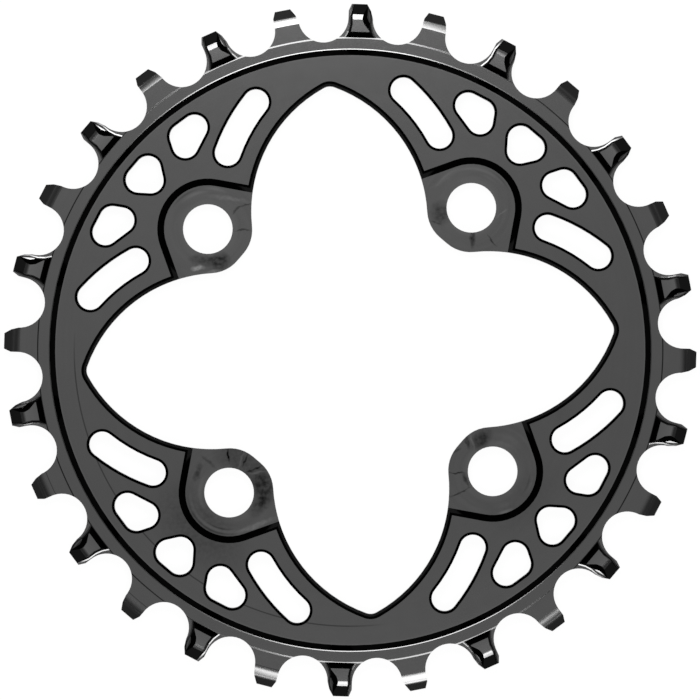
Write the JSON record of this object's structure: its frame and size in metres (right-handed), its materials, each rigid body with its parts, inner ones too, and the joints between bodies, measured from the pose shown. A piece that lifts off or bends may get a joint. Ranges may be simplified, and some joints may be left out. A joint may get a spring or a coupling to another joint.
{
  "type": "bicycle chainring",
  "caption": "Flat round chainring with alternating narrow and wide teeth, a star-shaped middle opening, recessed bolt tabs and lightening holes, which drives a bicycle chain.",
  "frame": {"origin": "on the ring's axis, in the plane of its back face", "axes": "+Z along the ring's axis, out of the outer face with the tab recesses; the bolt holes lie on the diagonals of X and Y"},
  "size_m": [0.118, 0.118, 0.004],
  "materials": {
    "anodised": "black anodised, satin"
  },
  "bodies": {
    "root": {"chainring": "anodised"}
  },
  "joints": []
}
